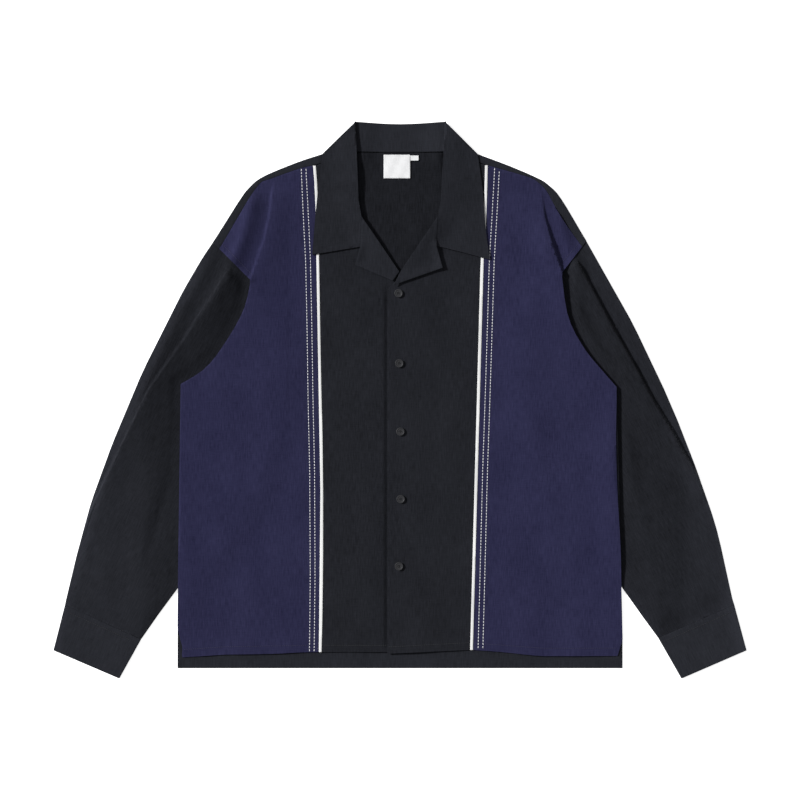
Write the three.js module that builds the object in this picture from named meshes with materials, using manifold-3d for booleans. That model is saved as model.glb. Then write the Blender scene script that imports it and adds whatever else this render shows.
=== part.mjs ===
// A long-sleeved shirt jacket lying flat on its back, in millimetres.
// +X is to the viewer's right, +Y towards the collar and +Z up. The origin is on the floor, under the
// middle of the garment. "Left" and "right" are the viewer's.
import * as THREE from "three";
import { mergeVertices } from "three/addons/utils/BufferGeometryUtils.js";
import Module from "manifold-3d";

const wasm = await Module();
wasm.setup();
const { smoothstep, lerp } = THREE.MathUtils;

// ---------------------------------------------------------------- driving dimensions
const CLOTH = 1.2; // wall of one layer of cloth
const SEAM = 0.3; // gap between two pieces that are sewn or lie together
const LAYER = CLOTH + SEAM; // from the underside of one layer to that of the next
const TUCKED_LAYERS = 2; // layers of sleeve under each side of the body

const COLLAR_TOP = 383.5; // y of the collar's top edge
const COLLAR_DIP = 380.5; // y of that edge at its middle
const NECK_SEAM = 342; // y of the seam between back and collar
const FALL_DEPTH = 68; // collar lying behind the back, below its top edge
const BACK_HEM = -370; // y
const VENT_TOP = -330; // y where the side seams open

const PLACKET = 17.5; // each centre front reaches this far past the centre line
const PIPING = { width: 4, height: 1.8 };
const ROLL = { rise: 2.5, spread: 40 }; // lift of one layer at the collar's roll line, and its reach
const ROLL_GROWS = { from: 150, to: 235 }; // y between which that lift builds up, going up
const ROLL_DIES = { from: 345, share: 0.7 }; // y where it starts to fall again, and how much of it
const FALL_SLOPE = { foot: 36, top: 12 }; // where the back climbs on to the fall, below its edge
const FALL_END = { from: 122, to: 158 }; // out, where the lift by the fall dies out
const STAND = { from: 24, low: 300 }; // where the stand starts to climb: out, and y
const OVERLAP_SLOPE = { from: 14, to: 50 }; // past the placket, where the upper front comes down
const FOLD_STEP = 14; // width of the drop outside the shoulder fold
const FOLD_FOOT = 30; // width of the slope inside the crest of a sleeve's fold
const FOLD_RUN = { below: 10, length: 130 }; // how far the shoulder fold runs up from the armhole
const SLEEVE_CLEAR = 18; // the body is fully lifted this far inside the tucked sleeve's edge
const BODY_SLOPE = 42; // width over which the body comes down from the sleeve to the floor
const SHEET_STEP = { neck: 10, curve: 14, long: 60 }; // steps along the outlines of the sheets
const FACET = 0.03; // facets closer to one plane than this are joined
const LABEL = { x: -4.25, y: 323.3, width: 36.5, height: 32.5, thick: 1 };
const SIZE_TAB = { x: 20, y: 335, width: 11, height: 7, thick: 1 };
const BUTTON = { radius: 5.7, thick: 2.4, rim: 1.1, dish: 0.6, hole: 0.75, spread: 1.35 };

const BUTTONS = [
  { x: -2, y: 147 },
  { x: -1, y: 50.5 },
  { x: 0.5, y: -43.5 },
  { x: 1, y: -136.5 },
  { x: -1.5, y: -229 },
];

// Each half of the garment in its own table: distances out from the centre line, and heights.
const LEFT = {
  sign: -1,
  shoulder: [
    // the top edge, where the back folds forward
    { out: 107, y: 339 },
    { out: 145, y: 326.5 },
    { out: 189, y: 308 },
    { out: 208, y: 293 },
    { out: 223, y: 273 },
    { out: 257, y: 219 },
  ],
  shoulderSeam: [
    { out: 107, y: 327 },
    { out: 118, y: 323.5 },
    { out: 140, y: 318.5 },
    { out: 180, y: 304.5 },
    { out: 194, y: 297.5 },
    { out: 215, y: 266 },
    { out: 248, y: 210 },
  ],
  armholeTop: { out: 205, y: 167 }, // where the body starts to lie over the sleeve
  armhole: [
    { out: 205, y: 167 },
    { out: 215, y: 125 },
    { out: 240, y: 80 },
    { out: 268, y: 44 },
    { out: 302, y: 22 },
  ],
  side: [
    { out: 302, y: 22 },
    { out: 304, y: -91 },
    { out: 305.5, y: -221 },
    { out: 307, y: VENT_TOP },
  ],
  frontHem: [
    { out: 300, y: -355 },
    { out: 241, y: -351 },
    { out: 109, y: -349 },
    { out: -PLACKET, y: -349 },
  ],
  piping: [
    { out: 118, y: 323 },
    { out: 115, y: 280 },
    { out: 113.5, y: 199 },
    { out: 112.5, y: 138 },
    { out: 110.5, y: 23 },
    { out: 108, y: -91 },
    { out: 108, y: -243 },
    { out: 110, y: -349 },
  ],
  shoulderFold: [
    { y: 297, out: 180 },
    { y: 269, out: 178 },
    { y: 217, out: 187 },
    { y: 167, out: 205 },
  ],
  roll: [
    { y: COLLAR_TOP, out: 61 },
    { y: 276, out: 57 },
    { y: 253, out: 53 },
    { y: 177, out: 1 },
  ],
  leaf: { shoulder: { out: 107, y: 339 }, edge: { out: 116, y: 263 }, tip: { out: 121, y: 200 } },
  lapel: { gorge: { out: 55, y: 211 }, tip: { out: 62, y: 186 }, foot: { out: 10, y: 164 } },
  // Across the sleeve: its outer edge, its inner edge (under the body down to the hem's height), the
  // crest of its long fold in from the outer edge, and how far that crest rises.
  sleeve: [
    { outer: 257, outerY: 219, inner: 205, innerY: 167, fold: 40, rise: 0 },
    { outer: 275, outerY: 192, inner: 190, innerY: 132, fold: 40, rise: 1.2 },
    { outer: 302, outerY: 145, inner: 182, innerY: 92, fold: 36, rise: 2.4 },
    { outer: 331, outerY: 88, inner: 181, innerY: 46, fold: 29, rise: 3 },
    { outer: 359, outerY: 30, inner: 186, innerY: 0, fold: 19, rise: 3 },
    { outer: 393, outerY: -51, inner: 202, innerY: -75, fold: 15, rise: 2.6 },
    { outer: 411, outerY: -99, inner: 219, innerY: -122, fold: 11, rise: 2 },
    { outer: 428, outerY: -148, inner: 243, innerY: -172, fold: 8, rise: 1 },
    { outer: 446, outerY: -214, inner: 284, innerY: -229, fold: 8, rise: 0.2 },
    { outer: 459, outerY: -268, inner: 334, innerY: -297, fold: 8, rise: 0 },
    { outer: 462, outerY: -282, inner: 357, innerY: -330, fold: 8, rise: 0 },
  ],
  cuff: { outer: 478, outerY: -345, inner: 387, innerY: -384 },
};

const RIGHT = {
  sign: 1,
  shoulder: [
    { out: 107, y: 339 },
    { out: 152, y: 322.5 },
    { out: 190, y: 306 },
    { out: 204, y: 297 },
    { out: 222, y: 278 },
    { out: 256, y: 221 },
  ],
  shoulderSeam: [
    { out: 107, y: 328 },
    { out: 119, y: 324 },
    { out: 139, y: 318.5 },
    { out: 177, y: 307.5 },
    { out: 190, y: 300.5 },
    { out: 203, y: 287 },
    { out: 222, y: 252 },
    { out: 250, y: 213 },
  ],
  armholeTop: { out: 222, y: 177 },
  armhole: [
    { out: 222, y: 177 },
    { out: 231, y: 116 },
    { out: 253, y: 72 },
    { out: 279, y: 40 },
    { out: 298, y: 18 },
  ],
  side: [
    { out: 298, y: 18 },
    { out: 300, y: -91 },
    { out: 304, y: -221 },
    { out: 307, y: VENT_TOP },
  ],
  frontHem: [
    { out: 300, y: -353 },
    { out: 198, y: -353 },
    { out: 97, y: -345.5 },
    { out: -PLACKET, y: -351 },
  ],
  piping: [
    { out: 119, y: 323.5 },
    { out: 117, y: 245 },
    { out: 113, y: 193 },
    { out: 112, y: 138 },
    { out: 109, y: 23 },
    { out: 105, y: -91 },
    { out: 102, y: -221 },
    { out: 98.5, y: -346 },
  ],
  shoulderFold: [
    { y: 296, out: 190 },
    { y: 226, out: 203 },
    { y: 199, out: 215 },
    { y: 177, out: 222 },
  ],
  roll: [
    { y: COLLAR_TOP, out: 62 },
    { y: 276, out: 56 },
    { y: 253, out: 52 },
    { y: 178, out: 1 },
  ],
  leaf: { shoulder: { out: 107, y: 339 }, edge: { out: 115, y: 280 }, tip: { out: 121, y: 195 } },
  lapel: { gorge: { out: 50.5, y: 212 }, tip: { out: 59, y: 182 }, foot: { out: -9, y: 158 } },
  sleeve: [
    { outer: 256, outerY: 221, inner: 222, innerY: 177, fold: 24, rise: 0 },
    { outer: 285, outerY: 170, inner: 201, innerY: 132, fold: 27, rise: 1.6 },
    { outer: 317, outerY: 113, inner: 189, innerY: 84, fold: 27, rise: 2.8 },
    { outer: 348, outerY: 50, inner: 187, innerY: 30, fold: 26, rise: 3 },
    { outer: 371, outerY: 0, inner: 192, innerY: -20, fold: 18, rise: 3 },
    { outer: 390, outerY: -46, inner: 203, innerY: -75, fold: 13, rise: 2.2 },
    { outer: 416, outerY: -115, inner: 222, innerY: -127, fold: 8, rise: 1 },
    { outer: 437, outerY: -179, inner: 254, innerY: -190, fold: 8, rise: 0.2 },
    { outer: 452, outerY: -245, inner: 300, innerY: -250, fold: 8, rise: 0 },
    { outer: 458, outerY: -272, inner: 334, innerY: -298, fold: 8, rise: 0 },
    { outer: 461, outerY: -282, inner: 356, innerY: -328, fold: 8, rise: 0 },
  ],
  cuff: { outer: 478, outerY: -345, inner: 388, innerY: -384 },
};

// ---------------------------------------------------------------- tables and outlines
// A column of a table read at a height y, between its rows.
function readAt(rows, y, key) {
  const down = [...rows].sort((a, b) => b.y - a.y);
  const below = down.findIndex((row) => row.y <= y);
  if (below === 0) return down[0][key];
  if (below < 0) return down[down.length - 1][key];
  const [high, low] = [down[below - 1], down[below]];
  return lerp(low[key], high[key], (y - low.y) / (high.y - low.y));
}

const at = (half, row) => new THREE.Vector2(half.sign * row.out, row.y);

// A smooth line through a table's rows, in steps of about `step`.
function line(half, rows, step = SHEET_STEP.curve) {
  const curve = new THREE.SplineCurve(rows.map((row) => at(half, row)));
  return curve.getPoints(Math.ceil(curve.getLength() / step));
}

const beside = (half, rows, by) => rows.map((row) => ({ ...row, out: row.out + by }));

// A closed outline, counter-clockwise, drawn in by half a seam all round.
function outline(...stretches) {
  const points = [];
  for (const p of stretches.flat()) {
    const last = points[points.length - 1];
    if (!last || last.distanceTo(p) > 0.5) points.push(p.clone());
  }
  if (points[0].distanceTo(points[points.length - 1]) < 0.5) points.pop();
  if (THREE.ShapeUtils.area(points) < 0) points.reverse();
  const normal = (a, b) => new THREE.Vector2(b.y - a.y, a.x - b.x).normalize();
  return points.map((p, i) => {
    const before = normal(points[(i + points.length - 1) % points.length], p);
    const after = normal(p, points[(i + 1) % points.length]);
    const mean = before.clone().add(after).normalize();
    return p.clone().addScaledVector(mean, -SEAM / 2 / Math.max(mean.dot(after), 0.35));
  });
}

// ---------------------------------------------------------------- how high each layer lies
const halfOf = (x) => (x < 0 ? LEFT : RIGHT);

// How far the sleeve tucked below lifts the body: fully over the sleeve, then down to the floor
// inwards. Above the armhole the lift dies out up the shoulder, and drops outside the fold there.
function sleeveLift(x, y) {
  const half = halfOf(x);
  const out = Math.abs(x);
  const tucked = readAt(
    half.sleeve.map((row) => ({ y: row.innerY, inner: row.inner })),
    y,
    "inner",
  );
  const top = tucked - SLEEVE_CLEAR;
  let lift = smoothstep(out, top - BODY_SLOPE, top);
  const above = y - half.armholeTop.y - FOLD_RUN.below;
  if (above > 0) {
    const crest = readAt(half.shoulderFold, y, "out");
    lift *= 1 - smoothstep(out, crest, crest + FOLD_STEP);
    lift *= 1 - smoothstep(above, 0, FOLD_RUN.length);
  }
  return TUCKED_LAYERS * LAYER * lift;
}

// How far the collar's fall, lying behind the back, lifts it.
function fallLift(x, y) {
  const low = COLLAR_TOP - FALL_DEPTH;
  const along = smoothstep(y, low - FALL_SLOPE.foot, low - FALL_SLOPE.top);
  return LAYER * along * (1 - smoothstep(Math.abs(x), FALL_END.from, FALL_END.to));
}

// One layer's share of the rise of the collar towards its roll line, highest at the sides of the neck.
function rollRise(x, y) {
  const half = halfOf(x);
  const away = Math.abs(x) - readAt(half.roll, y, "out");
  const grown = smoothstep(y, ROLL_GROWS.from, ROLL_GROWS.to);
  const died = ROLL_DIES.share * smoothstep(y, ROLL_DIES.from, COLLAR_TOP);
  return ROLL.rise * grown * (1 - died) * (1 - smoothstep(away, 0, ROLL.spread));
}

// Inside the neck the collar's stand climbs from the back to the roll line.
function standClimb(x, y) {
  const out = Math.abs(x);
  const toRoll = smoothstep(out, STAND.from, readAt(halfOf(x).roll, y, "out") - 2);
  return (LAYER + rollRise(x, y)) * toRoll * smoothstep(y, STAND.low, NECK_SEAM);
}

const bodyLift = (x, y) => sleeveLift(x, y) + fallLift(x, y);
const insideNeck = (x) => 1 - smoothstep(Math.abs(x), 44, 56);
const backZ = (x, y) => bodyLift(x, y) + standClimb(x, y) * insideNeck(x);
const standZ = (x, y) => LAYER + standClimb(x, y);
const frontZ = (x, y) => bodyLift(x, y) + LAYER + rollRise(x, y);
const overlapLift = (x) =>
  LAYER * (1 - smoothstep(x, PLACKET + OVERLAP_SLOPE.from, PLACKET + OVERLAP_SLOPE.to));
const rightCentreZ = (x, y) => frontZ(x, y) + overlapLift(x);
const centreZ = (half) => (half === LEFT ? frontZ : rightCentreZ);
// What is turned out on the fronts, collar and lapels, lies clear of the piping.
const turnedZ = (half) => (x, y) =>
  centreZ(half)(x, y) + PIPING.height + SEAM + rollRise(x, y);
const above = (height, by) => (x, y) => height(x, y) + by;

// ---------------------------------------------------------------- sheets of cloth
// One lattice for the whole garment, finer at the collar, so that layers that lie on each other have
// the same facets and their gap stays even.
function latticeLines(stops) {
  const lines = [stops[0].at];
  for (const { to, step } of stops.slice(1)) {
    const from = lines[lines.length - 1];
    const count = Math.round((to - from) / step);
    for (let i = 1; i <= count; i++) lines.push(lerp(from, to, i / count));
  }
  return lines;
}
const ACROSS = latticeLines([
  { at: -322 },
  { to: -140, step: 15 },
  { to: 140, step: 10 },
  { to: 322, step: 15 },
]);
const ALONG = latticeLines([
  { at: -392 },
  { to: -60, step: 26 },
  { to: 150, step: 21 },
  { to: 392, step: 11 },
]);

function solidOf(geometry) {
  geometry.deleteAttribute("normal");
  geometry.deleteAttribute("uv");
  const merged = mergeVertices(geometry, 1e-4);
  return new wasm.Manifold(
    new wasm.Mesh({
      numProp: 3,
      vertProperties: new Float32Array(merged.attributes.position.array),
      triVerts: new Uint32Array(merged.index.array),
    }),
  );
}

function geometryOf(positions, triangles) {
  const geometry = new THREE.BufferGeometry();
  geometry.setAttribute("position", new THREE.Float32BufferAttribute(positions, 3));
  geometry.setIndex(triangles);
  return geometry;
}

const within = (lines, low, high) => {
  const first = lines.findLastIndex((v) => v < low);
  const last = lines.findIndex((v) => v > high);
  return lines.slice(first, last + 1);
};

// The cloth inside an outline, between two height functions.
function sheet(points, low, high = above(low, CLOTH)) {
  const box = new THREE.Box2().setFromPoints(points);
  const xs = within(ACROSS, box.min.x, box.max.x);
  const ys = within(ALONG, box.min.y, box.max.y);
  const positions = [];
  for (const height of [low, high]) {
    for (const y of ys) for (const x of xs) positions.push(x, y, height(x, y));
  }
  const layerSize = xs.length * ys.length;
  const triangles = [];
  const quad = (a, b, c, d) => triangles.push(a, b, c, a, c, d);
  for (let j = 0; j + 1 < ys.length; j++) {
    for (let i = 0; i + 1 < xs.length; i++) {
      const a = j * xs.length + i;
      const [b, c, d] = [a + 1, a + xs.length + 1, a + xs.length];
      quad(a + layerSize, b + layerSize, c + layerSize, d + layerSize);
      triangles.push(a, c, b, a, d, c);
    }
  }
  const border = [];
  for (let i = 0; i < xs.length - 1; i++) border.push(i);
  for (let j = 0; j < ys.length - 1; j++) border.push(j * xs.length + xs.length - 1);
  for (let i = xs.length - 1; i > 0; i--) border.push((ys.length - 1) * xs.length + i);
  for (let j = ys.length - 1; j > 0; j--) border.push(j * xs.length);
  border.forEach((a, i) => {
    const b = border[(i + 1) % border.length];
    quad(a, b, b + layerSize, a + layerSize);
  });
  const cutter = new THREE.ExtrudeGeometry(new THREE.Shape(points), {
    depth: 60,
    bevelEnabled: false,
  }).translate(0, 0, -10);
  return solidOf(geometryOf(positions, triangles)).intersect(solidOf(cutter));
}

// ---------------------------------------------------------------- materials
const cloth = (color) => new THREE.MeshStandardMaterial({ color, roughness: 0.92, metalness: 0 });
const BLACK = cloth("#26272b");
const NAVY = cloth("#2d2c47");
const WHITE = cloth("#eeeeec");
const RESIN = new THREE.MeshStandardMaterial({ color: "#3a3a3e", roughness: 0.45, metalness: 0 });

const shirt = new THREE.Group();

function place(name, geometry, material, position = [0, 0, 0]) {
  const mesh = new THREE.Mesh(geometry, material);
  mesh.name = name;
  mesh.position.set(...position);
  shirt.add(mesh);
}

// The mesh of a solid, with the facets that lie in one plane joined.
function meshOf(solid) {
  const { vertProperties, triVerts } = solid.simplify(FACET).getMesh();
  return geometryOf(vertProperties, [...triVerts]);
}

const SIDES = [
  ["left", LEFT],
  ["right", RIGHT],
];

// ---------------------------------------------------------------- body
const shoulderLine = (half) => line(half, half.shoulder, SHEET_STEP.neck);
const seamLine = (half) => {
  const [neck, ...rest] = half.shoulderSeam;
  return [at(half, neck), ...line(half, rest, SHEET_STEP.neck)];
};
const sideLine = (half) => [
  ...line(half, half.armhole),
  ...line(half, half.side, SHEET_STEP.long),
];

// The back: a sheet on the floor, with an edge at each shoulder and a strip that comes forward.
function makeBack() {
  const halfOutline = (half) => [
    ...shoulderLine(half),
    ...sideLine(half),
    at(half, { out: 307, y: BACK_HEM }),
  ];
  const neck = (half) => at(half, { out: 72, y: NECK_SEAM });
  let back = sheet(
    outline(neck(LEFT), halfOutline(LEFT), halfOutline(RIGHT).reverse(), neck(RIGHT)),
    backZ,
  );
  for (const [, half] of SIDES) {
    const strip = outline(shoulderLine(half), seamLine(half).reverse());
    const inward = new THREE.Vector2(-1.5 * half.sign * CLOTH, -CLOTH);
    const inside = shoulderLine(half).map((p) => p.clone().add(inward));
    const edge = outline(shoulderLine(half), inside.reverse());
    back = back.add(sheet(strip, frontZ)).add(sheet(edge, bodyLift, above(frontZ, CLOTH)));
  }
  place("back", meshOf(back), BLACK);
}

// The piping's edge towards the side seam (1) or towards the buttons (-1).
const pipingEdge = (half, side) =>
  line(half, beside(half, half.piping, (side * PIPING.width) / 2), SHEET_STEP.long);

// A side front, from the piping to the side seam.
function makeSideFront(name, half) {
  const piping = pipingEdge(half, 1);
  const shoulder = seamLine(half).filter((p) => Math.abs(p.x) > Math.abs(piping[0].x));
  const hemRows = half.frontHem.filter((row) => row.out > half.piping.at(-1).out);
  const hem = line(half, hemRows, SHEET_STEP.long);
  const points = outline(shoulder, sideLine(half), hem, piping.reverse());
  place("front_side_" + name, meshOf(sheet(points, frontZ)), NAVY);
}

// A centre front: its upper edge is folded along the roll line, with the collar and lapel on it.
function makeCentreFront(name, half, height) {
  const piping = pipingEdge(half, -1);
  const roll = half.roll.slice(1).map((row) => at(half, { y: row.y, out: row.out + 2 * CLOTH }));
  const points = outline(
    piping,
    at(half, half.frontHem.at(-1)),
    at(half, { out: -PLACKET, y: half.lapel.foot.y - 6 }),
    at(half, { out: -1, y: 170 }),
    roll.reverse(),
    at(half, { out: 62, y: NECK_SEAM - 6 }),
    at(half, { out: 107, y: 327 }),
  );
  place("front_centre_" + name, meshOf(sheet(points, height)), BLACK);
}

function makePiping(name, half) {
  const points = outline(pipingEdge(half, -1), pipingEdge(half, 1).reverse());
  place("piping_" + name, meshOf(sheet(points, frontZ, above(frontZ, PIPING.height))), WHITE);
}

makeBack();
for (const [name, half] of SIDES) {
  makeSideFront(name, half);
  makePiping(name, half);
}
makeCentreFront("left", LEFT, frontZ);
makeCentreFront("right", RIGHT, rightCentreZ);

// ---------------------------------------------------------------- sleeves and cuffs
// One ring of a flattened tube, as [x, y, z] points: along the upper layer from the outer edge to the
// inner one, then back below. The fold's crest lies `fold` in from the outer edge and rises by `rise`.
function tubeRing({ outer, inner, fold, rise }, wall) {
  const width = outer.distanceTo(inner);
  const foot = fold + FOLD_FOOT;
  const bump = (d) => rise * smoothstep(d, fold * 0.25, fold) * (1 - smoothstep(d, fold, foot));
  const edge = wall ? 1.5 * wall : 0.4;
  const inset = (d) => Math.min(Math.max(d, edge), width - edge);
  const point = (d, z) => {
    const p = outer.clone().lerp(inner, d / width);
    return [p.x, p.y, z];
  };
  const stops = [0, 0.35 * fold, 0.7 * fold, fold, lerp(fold, foot, 0.3), lerp(fold, foot, 0.65)];
  stops.push(foot, (foot + width) / 2, width);
  const side = (d) => point(wall ? inset(d) : d, LAYER - SEAM / 2);
  const upper = stops.map((d) => point(inset(d), LAYER + CLOTH - wall + bump(d)));
  const lower = [width, width / 2, 0].map((d) => point(inset(d), wall));
  return [side(0), ...upper, side(width), ...lower];
}

// A flattened tube of cloth through its sections, open at both ends.
function flatTube(sections) {
  const rings = sections.map((section) => [tubeRing(section, 0), tubeRing(section, CLOTH)]);
  const size = rings[0][0].length;
  const end = rings.length - 1;
  const corner = (row, inside, i) => (2 * row + inside) * size + (i % size);
  const triangles = [];
  const quad = (a, b, c, d) => triangles.push(a, b, c, a, c, d);
  for (let i = 0; i < size; i++) {
    const j = i + 1;
    for (let row = 0; row < end; row++) {
      const next = row + 1;
      quad(corner(row, 0, i), corner(row, 0, j), corner(next, 0, j), corner(next, 0, i));
      quad(corner(row, 1, j), corner(row, 1, i), corner(next, 1, i), corner(next, 1, j));
    }
    quad(corner(0, 0, j), corner(0, 0, i), corner(0, 1, i), corner(0, 1, j));
    quad(corner(end, 0, i), corner(end, 0, j), corner(end, 1, j), corner(end, 1, i));
  }
  const positions = rings.flat(3);
  const tube = solidOf(geometryOf(positions, triangles));
  return tube.volume() > 0 ? tube : solidOf(geometryOf(positions, triangles.reverse()));
}

// The rows of a sleeve's table with `between` sections added from row to row.
function sleeveSections(half, between = 2) {
  const { Vector2, Vector3, SplineCurve, CatmullRomCurve3 } = THREE;
  const outer = new SplineCurve(half.sleeve.map((r) => new Vector2(half.sign * r.outer, r.outerY)));
  const inner = new SplineCurve(half.sleeve.map((r) => new Vector2(half.sign * r.inner, r.innerY)));
  const folds = new CatmullRomCurve3(half.sleeve.map((r) => new Vector3(r.fold, r.rise, 0)));
  const count = (half.sleeve.length - 1) * (between + 1);
  return Array.from({ length: count + 1 }, (_, i) => {
    const t = i / count;
    const [fold, rise] = folds.getPoint(t).toArray();
    return { outer: outer.getPoint(t), inner: inner.getPoint(t), fold, rise: Math.max(rise, 0) };
  });
}

// Moves a section along the sleeve, to leave its share of a seam.
const moved = (section, towards, by) => {
  const step = (from, to) => from.clone().addScaledVector(to.clone().sub(from).normalize(), by);
  const outer = step(section.outer, towards.outer);
  return { ...section, outer, inner: step(section.inner, towards.inner) };
};

for (const [name, half] of SIDES) {
  const sections = sleeveSections(half);
  const wrist = sections.at(-1);
  const cuffEnd = {
    ...wrist,
    outer: at(half, { out: half.cuff.outer, y: half.cuff.outerY }),
    inner: at(half, { out: half.cuff.inner, y: half.cuff.innerY }),
  };
  sections[0] = moved(sections[0], sections[1], 2 * SEAM);
  sections[sections.length - 1] = moved(wrist, sections.at(-2), SEAM / 2);
  place("sleeve_" + name, meshOf(flatTube(sections)), BLACK);
  place("cuff_" + name, meshOf(flatTube([moved(wrist, cuffEnd, SEAM / 2), cuffEnd])), BLACK);
}

// ---------------------------------------------------------------- collar and lapels
const rollPoints = (half, from, to, by = 0) =>
  half.roll.slice(from, to).map((row) => at(half, { y: row.y, out: row.out + by }));

// A leaf of the collar on one front: its shoulder end, its outer edge, its point and the notch.
function leafOutline(half) {
  const { shoulder, edge, tip } = half.leaf;
  const outer = line(half, [shoulder, edge, tip], 20);
  return outline(outer, at(half, half.lapel.gorge), rollPoints(half, 0, 3).reverse());
}

// The collar: the fall behind the back, the stand inside the neck and the two leaves, joined by the
// folded edges at the top, at the slanting sides and along the roll line.
function makeCollar() {
  const corner = (half) => at(half, half.roll[0]);
  const side = (half) => at(half, half.leaf.shoulder);
  const slantEnd = (half) => at(half, { out: 104, y: NECK_SEAM });
  const dip = new THREE.Vector2(0, COLLAR_DIP);
  const top = new THREE.SplineCurve([corner(LEFT), dip, corner(RIGHT)]).getPoints(10);
  const low = (half) => at(half, { out: 92, y: COLLAR_TOP - FALL_DEPTH + 2 });
  const fall = outline(top, side(RIGHT), low(RIGHT), low(LEFT), side(LEFT));
  const neck = (half) => at(half, { out: 101, y: NECK_SEAM });
  const stand = outline(top, neck(RIGHT), neck(LEFT));
  const below = new THREE.Vector2(0, -1.5 * CLOTH);
  const topEdge = outline(top, [...top].reverse().map((p) => p.clone().add(below)));
  const floor = () => 0;
  let collar = sheet(fall, floor)
    .add(sheet(stand, standZ))
    .add(sheet(topEdge, floor, above(standZ, CLOTH)));
  for (const [, half] of SIDES) {
    const inward = new THREE.Vector2(-half.sign * CLOTH, -CLOTH);
    const slant = [corner(half), slantEnd(half)];
    const slantEdge = outline(slant, [...slant].reverse().map((p) => p.clone().add(inward)));
    const neckFold = outline(rollPoints(half, 0, 3), rollPoints(half, 0, 3, 1.5 * CLOTH).reverse());
    collar = collar
      .add(sheet(leafOutline(half), turnedZ(half)))
      .add(sheet(slantEdge, floor, above(turnedZ(half), CLOTH)))
      .add(sheet(neckFold, foldFoot(half), above(turnedZ(half), CLOTH)));
  }
  place("collar", meshOf(collar), BLACK);
}

// The underside of what the roll line's fold comes down to: the stand inside the neck, the front below.
const foldFoot = (half) => (x, y) => (y > NECK_SEAM - 8 ? standZ : centreZ(half))(x, y);

// A lapel: the front turned out along the roll line, below the notch.
function makeLapel(name, half) {
  const { gorge, tip, foot } = half.lapel;
  const notch = half.roll[2].y - 4;
  const roll = [{ y: notch, out: readAt(half.roll, notch, "out") }, half.roll[3]];
  const folded = beside(half, roll, 1.5 * CLOTH).reverse();
  const fold = outline(roll.map((row) => at(half, row)), folded.map((row) => at(half, row)));
  const points = outline(rollPoints(half, 2, 4), at(half, foot), at(half, tip), at(half, gorge));
  const turned = turnedZ(half);
  const lapel = sheet(points, turned).add(sheet(fold, centreZ(half), above(turned, CLOTH)));
  place("lapel_" + name, meshOf(lapel), BLACK);
}

makeCollar();
for (const [name, half] of SIDES) makeLapel(name, half);

// ---------------------------------------------------------------- label and buttons
function makeTag(name, { x, y, width, height, thick }) {
  const top = backZ(x, y) + CLOTH + SEAM;
  place(name, new THREE.BoxGeometry(width, height, thick), WHITE, [x, y, top + thick / 2]);
}
makeTag("neck_label", LABEL);
makeTag("size_tab", SIZE_TAB);

// A four-hole shirt button: a disc with a raised rim round a dished middle.
function buttonGeometry() {
  const { radius, thick, rim, dish, hole, spread } = BUTTON;
  const profile = [
    [0, 0],
    [radius - 0.6, 0],
    [radius, 0.5],
    [radius, thick - 0.5],
    [radius - 0.5, thick],
    [radius - rim, thick],
    [radius - rim - 0.5, thick - dish],
    [0, thick - dish],
  ];
  const points = profile.map(([r, z]) => new THREE.Vector2(r, z));
  let button = solidOf(new THREE.LatheGeometry(points, 20).rotateX(Math.PI / 2));
  for (let i = 0; i < 4; i++) {
    const turn = Math.PI * (0.25 + i / 2);
    const drill = new THREE.CylinderGeometry(hole, hole, 4 * thick, 6).rotateX(Math.PI / 2);
    drill.translate(spread * Math.cos(turn), spread * Math.sin(turn), 0);
    button = button.subtract(solidOf(drill));
  }
  return meshOf(button);
}
BUTTONS.forEach(({ x, y }, i) => {
  const top = rightCentreZ(x, y) + CLOTH + SEAM;
  place("button_" + (i + 1), buttonGeometry(), RESIN, [x, y, top]);
});

export default shirt;
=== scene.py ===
from math import atan2, cos, pi, radians, sin

import bmesh
import bpy
import numpy as np
from mathutils import Matrix, Vector
from mathutils.bvhtree import BVHTree


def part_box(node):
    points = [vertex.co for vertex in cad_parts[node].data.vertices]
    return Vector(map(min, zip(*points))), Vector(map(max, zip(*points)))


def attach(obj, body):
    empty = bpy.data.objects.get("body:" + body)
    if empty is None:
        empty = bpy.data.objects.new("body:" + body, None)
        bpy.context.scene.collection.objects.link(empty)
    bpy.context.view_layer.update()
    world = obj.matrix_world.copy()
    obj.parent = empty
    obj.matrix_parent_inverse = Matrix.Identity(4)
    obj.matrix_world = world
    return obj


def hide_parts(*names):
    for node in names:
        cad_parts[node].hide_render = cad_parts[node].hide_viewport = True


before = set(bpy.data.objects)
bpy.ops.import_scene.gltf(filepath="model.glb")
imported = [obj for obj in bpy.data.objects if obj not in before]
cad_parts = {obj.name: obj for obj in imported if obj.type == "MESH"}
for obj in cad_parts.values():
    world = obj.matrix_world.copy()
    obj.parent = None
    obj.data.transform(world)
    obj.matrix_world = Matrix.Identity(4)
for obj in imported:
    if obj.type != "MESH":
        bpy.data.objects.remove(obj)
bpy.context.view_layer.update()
bpy.ops.object.select_all(action="DESELECT")

# ------------------------------------------------------------------ camera, light and table
# The camera looks straight down on the middle of the garment. A soft sun from the upper left
# draws the folds, and an even sky fills the shadows. The table is white and bright.
MM = 0.001
view_width = 1104 * MM
sensor, lens = 36, 85

camera_data = bpy.data.cameras.new("camera")
camera_data.lens = lens
camera_data.sensor_width = sensor
camera = bpy.data.objects.new("camera", camera_data)
camera.location = (0, 0, view_width * lens / sensor)
bpy.context.scene.collection.objects.link(camera)
bpy.context.scene.camera = camera
bpy.context.scene.view_settings.view_transform = "Standard"

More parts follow.
